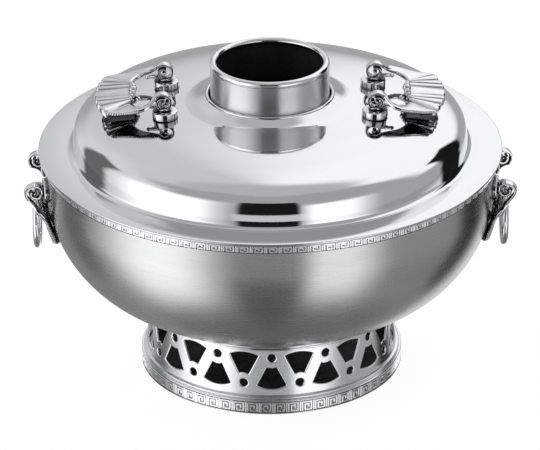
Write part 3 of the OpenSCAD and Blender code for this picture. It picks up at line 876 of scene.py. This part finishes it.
def pleat_column(c):
    """One line along the fan, from its root over its edge and back beneath (mm)."""
    pleats = len(ROOT_LINES) - 1
    k = min(c // PLEAT_STEPS, pleats - 1)
    part = c / PLEAT_STEPS - k
    root_v = ROOT_LINES[k] + (ROOT_LINES[k + 1] - ROOT_LINES[k]) * part
    outer_v = OUTER_LINES[k] + (OUTER_LINES[k + 1] - OUTER_LINES[k]) * part
    bulge = math.sin(math.pi * part)
    crest = bulge**0.4
    tall = 1.5 if k == pleats // 2 else 1.4 + 0.25 * abs(k - pleats // 2)
    end_u = FAN_TIP_U - FAN_EDGE_CURVE * outer_v**2 - 1.8 * (1 - bulge**0.5)
    bow = FAN_BOW * (outer_v / OUTER_LINES[-1]) ** 2
    drop_w = FAN_OUTER_W - FAN_ROOT_W

    def point(t, w):
        return (FAN_ROOT_U + (end_u - FAN_ROOT_U) * t, root_v + (outer_v - root_v) * t, w)

    shares = [row / FAN_ROWS for row in range(FAN_ROWS + 1)]
    skin = [(t, FAN_ROOT_W + drop_w * t + tall * crest * (0.35 + 0.65 * t) - bow) for t in shares]
    top = skin[-1][1]
    points = [point(t, w) for t, w in skin]
    for i in range(1, LIP_STEPS + 1):
        a = math.pi / 2 * i / LIP_STEPS
        reach, drop = FAN_LIP * math.sin(a), FAN_DROP * (1 - math.cos(a))
        points.append((end_u + reach, outer_v * (1 + 0.02 * math.sin(a)), top - drop))
    points.append((end_u + FAN_LIP - 1.0, outer_v, top - FAN_DROP))
    points += [point(t, w - FAN_THICK) for t, w in reversed(skin)]
    return points


def fan_mesh():
    """Pleated fan: cushions between sharp grooves, and a scalloped edge that turns down."""
    count = (len(ROOT_LINES) - 1) * PLEAT_STEPS
    columns = [pleat_column(c) for c in range(count + 1)]
    verts = [Vector(p) * MM for column in columns for p in column]
    n = len(columns[0])
    faces = []
    for c in range(count):
        a, b = c * n, (c + 1) * n
        faces += [(a + i, a + (i + 1) % n, b + (i + 1) % n, b + i) for i in range(n)]
    last = count * n
    faces += [tuple(range(n - 1, -1, -1)), tuple(last + i for i in range(n))]
    return verts, faces


# Stations of a band: along, inner side, outer side, top, half thickness (mm)
ARM_LINE = (
    (38.8, 27.2, 29.4, 3.3, 0.8),
    (36.0, 24.8, 30.4, 3.3, 1.1),
    (32.0, 21.2, 31.4, 3.4, 1.3),
    (28.0, 17.8, 32.2, 3.6, 1.4),
    (24.6, 15.8, 33.0, 3.9, 1.4),
    (22.4, 17.4, 33.4, 4.1, 1.4),
    (20.6, 20.8, 33.7, 4.3, 1.4),
    (18.2, 24.2, 33.9, 4.6, 1.4),
    (15.0, 26.4, 33.8, 5.1, 1.35),
    (11.6, 26.4, 33.2, 6.0, 1.25),
    (8.6, 24.8, 31.4, 7.5, 1.1),
)
# The band's outer edge stands this much above its middle (mm)
ARM_RAISE = 0.52
COIL_START = math.radians(45)
COIL_TURN = math.radians(430)
COIL_STEPS = 38
CORE_R = 1.4 * MM
CORE_PROUD = 0.7 * MM
# The tongue under a volute: along, height, half width (mm)
TONGUE_LINE = ((2.0, 1.4, 2.0), (7.0, 2.4, 1.8), (11.5, 2.6, 1.1))
BEAD_RADII = (0.75 * MM, 0.6 * MM, 0.8 * MM)


def volute_parts(hand):
    """A volute's core, the tongue that comes out under it with a round tip, and its seat on the foot."""
    core = ball((COIL_U, hand * VOLUTE_V, COIL_W), (CORE_R, VOLUTE_W / 2 + CORE_PROUD, CORE_R))
    line = smooth_path([tuple(x * MM for x in p) for p in TONGUE_LINE], 5)
    tongue = sweep(
        [(u, hand * VOLUTE_V, w) for u, w, _ in line],
        [half * 1.3 for _, _, half in line],
        [half * 0.6 for _, _, half in line],
        [Vector((0, 1, 0))] * len(line),
    )
    tip = ball((12 * MM, hand * VOLUTE_V, 2.7 * MM), (1.6 * MM, 1.9 * MM, 1.3 * MM))
    seat = ball((0.5 * MM, hand * VOLUTE_V, 0.4 * MM), (4.6 * MM, 3.6 * MM, 1.5 * MM))
    return core, tongue, tip, seat


def arm_mesh(hand):
    """Flat band that bows out from the fan's side and rolls over into its volute, its edge beaded."""
    line = []
    for u, v_in, v_out, top, t in ARM_LINE:
        middle, half = (v_in + v_out) / 2, (v_out - v_in) / 2
        tilt = -ARM_RAISE / max(half, 3.0)
        line.append((u * MM, middle * MM, (top - t) * MM, tilt, half * MM, t * MM))
    coil = []
    for i in range(COIL_STEPS + 1):
        turn = COIL_TURN * i / COIL_STEPS
        r = VOLUTE_R - VOLUTE_T - VOLUTE_PITCH * turn / FULL_TURN
        a = COIL_START + turn
        u, w = COIL_U + r * math.cos(a), COIL_W + r * math.sin(a)
        coil.append((u, VOLUTE_V, w, 0.0, VOLUTE_W / 2, VOLUTE_T))
    line = smooth_path([*line, coil[0]], 5)[:-1] + coil
    across = [Vector((0, hand * math.cos(p[3]), -math.sin(p[3]))) for p in line]
    path = [(p[0], hand * p[1], p[2]) for p in line]
    bar = sweep(path, [p[4] for p in line], [p[5] for p in line], across, square=4.0)
    beads = []
    for p in line[3:38:2]:
        centre = (p[0], hand * (p[1] + p[4] * math.cos(p[3])), p[2] - p[4] * math.sin(p[3]))
        beads.append(ball(centre, BEAD_RADII, 6, 10))
    return joined([bar, *volute_parts(hand), *beads])


# Bosses of the knot on one side: along, sideways, height, radius (mm)
KNOT_ROW = ((20.6, 0, 5.2, 2.7), (20.9, 4.9, 4.9, 2.2), (21.5, 9.0, 4.5, 1.8), (22.2, 12.4, 4.3, 1.4))
KNOT_U = 20.6
PETAL_COUNT = 6
PETAL_REACH = 2.7


def knot_mesh():
    """Knot that binds the fan's root: a row of bosses, and a rosette hanging below the middle one."""
    parts = []
    for u, v, w, r in KNOT_ROW:
        for hand in (-1, 1) if v else (1,):
            parts.append(ball((u * MM, hand * v * MM, w * MM), (r * MM, r * MM, 0.9 * r * MM)))
    parts.append(ball((KNOT_U * MM, 0, 1.6 * MM), (1.4 * MM, 1.4 * MM, 3.2 * MM)))
    for i in range(PETAL_COUNT):
        a = FULL_TURN * i / PETAL_COUNT
        along, across = KNOT_U + PETAL_REACH * math.cos(a), PETAL_REACH * math.sin(a)
        parts.append(ball((along * MM, across * MM, -1.2 * MM), (1.5 * MM, 1.5 * MM, 0.9 * MM), 6, 12))
    return joined(parts)


def shade_undersides(verts, faces):
    """Faces turned outwards, and material slot 1, a dark painted shade, for those that face down."""
    mesh = bpy.data.meshes.new("shade_undersides")
    mesh.from_pydata([tuple(v) for v in verts], [], faces)
    bm = bmesh.new()
    bm.from_mesh(mesh)
    bmesh.ops.recalc_face_normals(bm, faces=bm.faces[:])
    turned = [tuple(v.index for v in f.verts) for f in bm.faces]
    slots = [1 if f.normal.z < -0.45 else 0 for f in bm.faces]
    bm.free()
    bpy.data.meshes.remove(mesh)
    return turned, slots


def make_castings(mats):
    verts, faces = joined([fan_mesh(), knot_mesh(), arm_mesh(-1), arm_mesh(1)])
    faces, slots = shade_undersides(verts, faces)
    for side, spin in SIDES:
        for name, place, body, node in (
            ("_handle_palmette", on_lid, "lid", "_handle"),
            ("_lug_palmette", on_bowl, "base", "_lug"),
        ):
            piece(
                side + name, [spin @ place(v) for v in verts], faces, body, "polished_casting",
                [mats["casting"], mats["underside_shade"]], [side + node], sharp=42, face_slots=slots,
            )


def disc_profile(depth):
    """A round foot below its top face, with a rounded edge."""
    edge = arc(DISC_R - DISC_EDGE, -DISC_EDGE, DISC_EDGE, 0, 90, 6)
    return [(0, -depth), (DISC_R, -depth), *edge, (0, 0)]


def make_feet(mats):
    """The round feet between castings and sheet."""
    for side, spin in SIDES:
        lid_discs, lug_discs = [], []
        for hand in (-1, 1):
            verts, faces = lathe(disc_profile(HANDLE_FOOT_H + DISC_SUNK), 64, closed=False)
            at = Matrix.Translation((HANDLE_R, hand * VOLUTE_V, DOME_Z + HANDLE_FOOT_H))
            lid_discs.append((placed(verts, spin @ at), faces))
            verts, faces = lathe(disc_profile(LUG_DISC_H), 64, closed=False)
            at = (
                Matrix.Rotation(hand * VOLUTE_V / BOWL_R, 4, "Z")
                @ Matrix.Translation((bowl_out(LUG_Z) + LUG_LIFT - 0.5 * MM, 0, LUG_Z))
                @ Matrix.Rotation(math.pi / 2, 4, "Y")
            )
            lug_discs.append((placed(verts, spin @ at), faces))
        for name, parts, body, node in (
            ("_handle_discs", lid_discs, "lid", "_handle_feet"),
            ("_lug_discs", lug_discs, "base", "_lug_feet"),
        ):
            obj = piece(
                side + name, *joined(parts), body, "polished_casting", [mats["casting"]], [side + node],
                sharp=35,
            )
            merge_points(obj, POLE_GAP)


# ---------- Rings, eyes and studs ----------


def torus(radius, wire, segments=96):
    return lathe(ring_section(radius, 0, wire, 24), segments)


def make_rings(mats):
    for side, spin in SIDES:
        upright = Matrix.Rotation(math.pi / 2, 4, "Y")
        verts, faces = torus(RING_R, RING_WIRE_R)
        at = spin @ Matrix.Translation((EYE_X, 0, HANG_Z - RING_R)) @ upright
        piece(
            side + "_carry_ring", placed(verts, at), faces, side + "_ring", "polished_casting",
            [mats["mirror"]], [side + "_ring"],
        )
        eye_r = EYE_HOLE_R + EYE_WIRE_R
        verts, faces = torus(eye_r, EYE_WIRE_R, 64)
        at = spin @ Matrix.Translation((EYE_X, 0, EYE_Z)) @ Matrix.Rotation(math.pi / 2, 4, "X")
        loop = (placed(verts, at), faces)
        wall = bowl_out(EYE_Z)
        shank_end = EYE_X - eye_r - wall
        shank = [
            (0, -SHANK_IN),
            (SHANK_R, -SHANK_IN),
            (SHANK_R, WASHER_LOW),
            (WASHER_R, WASHER_LOW),
            (WASHER_R, WASHER_HIGH),
            (SHANK_R + 0.6 * MM, WASHER_HIGH + 0.5 * MM),
            (SHANK_R + 0.2 * MM, shank_end),
            (0, shank_end + 0.5 * MM),
        ]
        verts, faces = lathe(shank, 40, closed=False)
        at = spin @ Matrix.Translation((wall, 0, EYE_Z)) @ upright
        obj = piece(
            side + "_eye_bolt", *joined([loop, (placed(verts, at), faces)]), "base", "polished_casting",
            [mats["casting"]], [side + "_ring_eye"],
        )
        merge_points(obj, POLE_GAP)


def make_studs(mats):
    rise = (CORNER_Z - STUD_Z) / BOWL_CORNER_H**2
    run = (bowl_out(STUD_Z) - BOWL_FLOOR_R) / (BOWL_R - BOWL_FLOOR_R) ** 2
    slope = math.atan2(rise, run)
    head = [
        (0, -STEM_H),
        (STEM_R, -STEM_H),
        (STEM_R, 0),
        (STUD_R - STUD_EDGE, 0),
        (STUD_R, STUD_EDGE),
        (STUD_R, STUD_SIDE_H - 0.2 * MM),
    ]
    for degrees in range(9, 91, 9):
        a = math.radians(degrees)
        head.append((STUD_R * math.cos(a), STUD_SIDE_H + STUD_DOME_H * math.sin(a)))
    for side, spin in SIDES:
        verts, faces = lathe(head, 56, closed=False)
        at = (
            spin
            @ Matrix.Translation((bowl_out(STUD_Z), 0, STUD_Z))
            @ Matrix.Rotation(math.pi / 2 + slope, 4, "Y")
            @ Matrix.Translation((0, 0, STUD_SEAT))
        )
        obj = piece(
            side + "_stud_head", placed(verts, at), faces, "base", "polished_casting", [mats["casting"]],
            [side + "_stud"],
        )
        merge_points(obj, POLE_GAP)


def dress_frame(mats):
    """Finishes of the CAD nodes that are shown as they are."""
    for nodes, material in (
        (("firebox", "lid_locating_ring"), "bowl"),
        (("ash_pan", "fire_grate"), "iron"),
        (("lug_screws", "lid_screws", "stud_nuts", "eye_nuts"), "fastener"),
    ):
        for name in nodes:
            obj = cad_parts[name]
            obj.data.materials.clear()
            obj.data.materials.append(mats[material])


# ---------- Studio ----------

# Brightness of the bare room, and how much of the white background metal mirrors
STUDIO_BASE = 0.42
MIRRORED_WHITE = 0.5
# Soft light panels and dark flags on the sky: centre azimuth (0 is behind the pot, 90 its
# right), half width, softness left and right, low and high elevation, softness, brightness
PANELS = {
    "rear_wall": (0, 62, 34, 30, 22, 60, 14, 0.66),
    "rear_right": (40, 32, 17, 22, 22, 58, 14, 1.22),
    "ceiling": (0, 180, 1, 1, 72, 95, 14, 0.52),
    "front_high": (180, 60, 30, 30, 36, 70, 12, 0.4),
    "left_side": (-70, 28, 20, 24, -12, 40, 14, 0.75),
    "low_wall": (0, 180, 1, 1, -62, -30, 6, 0.3),
    "underfoot": (0, 180, 1, 1, -95, -66, 10, 0.18),
    "low_right": (16, 12, 8, 16, -46, -27, 6, 1.0),
    "front_shade": (182, 14, 10, 10, -95, -34, 10, 0.12),
    "near_table": (181, 17, 6, 6, -20, -9, 4, 0.64),
    "left_box": (-120, 6, 38, 42, -42, 18, 24, 1.6),
    "right_box": (147, 7, 28, 12, -42, 8, 16, 1.3),
    "dark_room": (181, 15, 4, 5, -7, 36, 2, 0.01),
    "right_flag": (55, 10, 5, 5, -46, 30, 4, 0.01),
    "left_flag": (-60, 9, 8, 6, -40, 30, 6, 0.15),
}


def panel_mask(graph, direction, elevation, panel):
    """1 inside a panel, 0 outside it, soft at its edges."""
    azimuth, half, soft_left, soft_right, low, high, soft, _ = panel
    a = math.radians(azimuth)
    sideways, straight = (math.cos(a), -math.sin(a), 0), (math.sin(a), math.cos(a), 0)
    across = graph.add("ShaderNodeVectorMath", direction, sideways, operation="DOT_PRODUCT")
    along = graph.add("ShaderNodeVectorMath", direction, straight, operation="DOT_PRODUCT")
    turn = graph.math("DEGREES", graph.math("ARCTAN2", across.outputs["Value"], along.outputs["Value"]))
    masks = [
        graph.fade(turn, -half - soft_left, -half),
        graph.fade(turn, half, half + soft_right, 1.0, 0.0),
        graph.fade(elevation, low - soft, low),
        graph.fade(elevation, high, high + soft, 1.0, 0.0),
    ]
    if half >= 180:
        masks = masks[2:]
    product = masks[0]
    for mask in masks[1:]:
        product = graph.math("MULTIPLY", product, mask)
    return product


def make_world():
    """The studio, mixed panel over panel; white to the camera, and in part to metal at the rear right."""
    world = bpy.data.worlds.new("studio")
    bpy.context.scene.world = world
    world.use_nodes = True
    graph = Graph(world.node_tree)
    direction = graph.add("ShaderNodeTexCoord").outputs["Generated"]
    height = graph.add("ShaderNodeSeparateXYZ", direction).outputs["Z"]
    elevation = graph.math("DEGREES", graph.math("ARCSINE", height))
    level = STUDIO_BASE
    masks = {}
    for name, panel in PANELS.items():
        mix = graph.add("ShaderNodeMix", data_type="FLOAT")
        masks[name] = panel_mask(graph, direction, elevation, panel)
        graph.fill(mix.inputs[0], masks[name])
        graph.fill(mix.inputs[2], level)
        graph.fill(mix.inputs[3], panel[-1])
        level = mix.outputs[0]
    path = graph.add("ShaderNodeLightPath").outputs
    studio = graph.add("ShaderNodeBackground", Color=level, Strength=1.0)
    white = graph.add("ShaderNodeBackground", Color=(1, 1, 1, 1), Strength=1.0)
    unshaded = graph.math("MULTIPLY", masks["rear_right"], graph.math("SUBTRACT", 1.0, masks["right_flag"]))
    share = graph.math("MULTIPLY", unshaded, MIRRORED_WHITE)
    mirrored = graph.math("MULTIPLY", path["Is Glossy Ray"], share)
    through = graph.math("MAXIMUM", path["Is Transmission Ray"], mirrored)
    seen = graph.math("MAXIMUM", path["Is Camera Ray"], through)
    graph.add("ShaderNodeOutputWorld", graph.add("ShaderNodeMixShader", seen, studio, white))


# How far the floor is lifted to plain white, and how bright that white is
FLOOR_LIFT = 0.8
FLOOR_GLOW = 1.15


def make_floor():
    """A pale table, white to the camera with its shadow kept; the metal mirrors the studio instead."""
    x, front, back = 1.6, -0.165, 2.4
    mesh = bpy.data.meshes.new("floor")
    mesh.from_pydata([(-x, front, 0), (x, front, 0), (x, back, 0), (-x, back, 0)], [], [(0, 1, 2, 3)])
    material, graph = new_material("pale_floor")
    matt = graph.add("ShaderNodeBsdfDiffuse", Color=(0.8, 0.8, 0.8, 1))
    white = graph.add("ShaderNodeEmission", Color=(1, 1, 1, 1), Strength=FLOOR_GLOW)
    path = graph.add("ShaderNodeLightPath").outputs
    direct = graph.math("MAXIMUM", path["Is Camera Ray"], path["Is Transmission Ray"])
    seen = graph.add("ShaderNodeMixShader", graph.math("MULTIPLY", direct, FLOOR_LIFT), matt, white)
    clear = graph.add("ShaderNodeBsdfTransparent")
    surface = graph.add("ShaderNodeMixShader", path["Is Glossy Ray"], seen, clear)
    graph.add("ShaderNodeOutputMaterial", surface)
    mesh.materials.append(material)
    floor = bpy.data.objects.new("floor", mesh)
    bpy.context.scene.collection.objects.link(floor)


def make_camera():
    """The photograph's viewpoint."""
    distance, elevation, roll = 2.8, math.radians(25.4), math.radians(-0.38)
    data = bpy.data.cameras.new("camera")
    data.sensor_width = 36.0
    data.lens = 286.1
    data.clip_start = 0.1
    data.clip_end = 20
    camera = bpy.data.objects.new("camera", data)
    camera.location = (0, -distance * math.cos(elevation), 0.1 + distance * math.sin(elevation))
    aim = Vector((-0.0005, 0, 0.0944)) - camera.location
    look = aim.to_track_quat("-Z", "Y").to_matrix().to_4x4()
    camera.rotation_euler = (look @ Matrix.Rotation(roll, 4, "Z")).to_euler()
    bpy.context.scene.collection.objects.link(camera)
    bpy.context.scene.camera = camera
    bpy.context.scene.view_settings.view_transform = "Standard"


mats = make_materials()
make_bowl(mats)
make_chimney(mats)
make_lid(mats)
foot_wall(mats)
foot_rings(mats)
foot_seam(mats)
make_key_bands(mats)
make_castings(mats)
make_feet(mats)
make_rings(mats)
make_studs(mats)
dress_frame(mats)
make_world()
make_floor()
make_camera()
